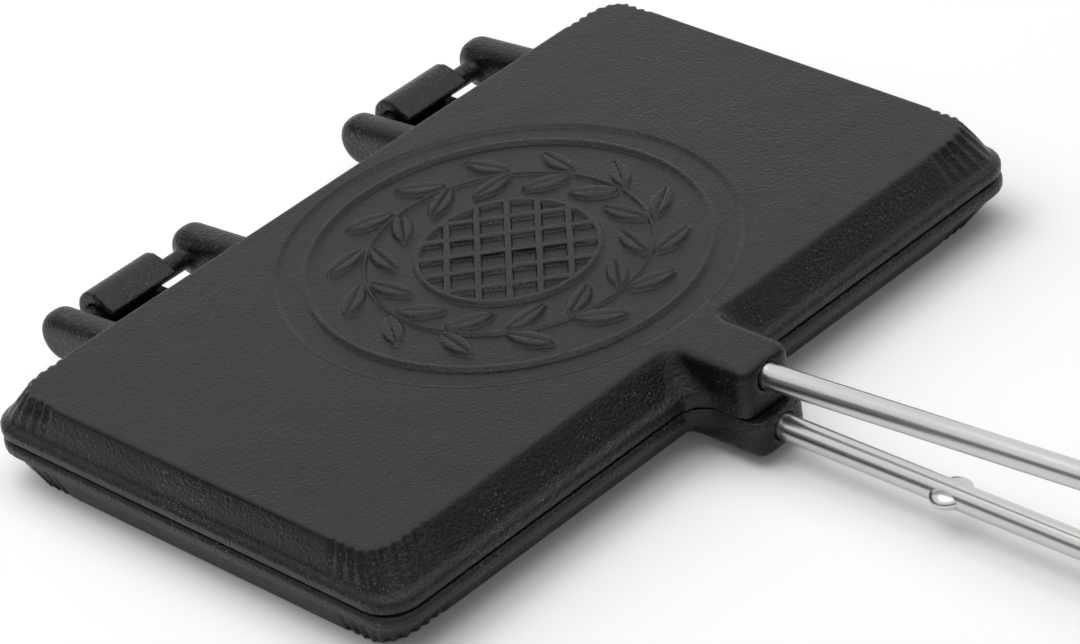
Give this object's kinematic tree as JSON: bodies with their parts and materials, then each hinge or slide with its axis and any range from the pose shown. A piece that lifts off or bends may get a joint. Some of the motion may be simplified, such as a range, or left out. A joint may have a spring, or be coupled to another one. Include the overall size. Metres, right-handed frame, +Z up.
{
  "type": "cast iron waffle iron",
  "caption": "Rectangular cast iron waffle iron with fluted corners, a sunk round medallion field, lift-off hinges, long steel handles with wooden grips and a closing bail.",
  "frame": {"origin": "centre of the flat back of the lower plate, which lies on the table", "axes": "+X along the handles, away from the hinges; +Y along the long side of the plates; +Z up"},
  "size_m": [0.6722, 0.24, 0.0662],
  "materials": {
    "cast_iron": "seasoned, fine pebbled skin",
    "rod_steel": "satin, drawn lengthwise",
    "turned_steel": "fine turned",
    "oiled_wood": "oiled beech, dark"
  },
  "bodies": {
    "lower_half": {"lower_plate": "cast_iron", "lower_handle_rod": "rod_steel", "lower_rod_pin": "turned_steel", "lower_grip_ferrule": "turned_steel", "lower_wooden_grip": "oiled_wood", "lower_grip_washer": "turned_steel", "lower_end_cap": "turned_steel"},
    "upper_half": {"upper_plate": "cast_iron", "upper_handle_rod": "rod_steel", "upper_rod_pin": "turned_steel", "upper_grip_ferrule": "turned_steel", "upper_wooden_grip": "oiled_wood", "upper_grip_washer": "turned_steel", "upper_end_cap": "turned_steel"},
    "bail": {"closing_bail": "turned_steel"}
  },
  "joints": [
    {"name": "opening_hinge", "type": "hinge", "parent": "lower_half", "child": "upper_half", "pos_m": [-0.0894, 0, 0.0166], "axis": [0, -1, 0], "range_deg": [0, 110]},
    {"name": "bail_swing", "type": "hinge", "parent": "lower_half", "child": "bail", "pos_m": [0.51839, 0, 0.01227], "axis": [0, -1, 0], "range_deg": [0, 112.5]}
  ]
}
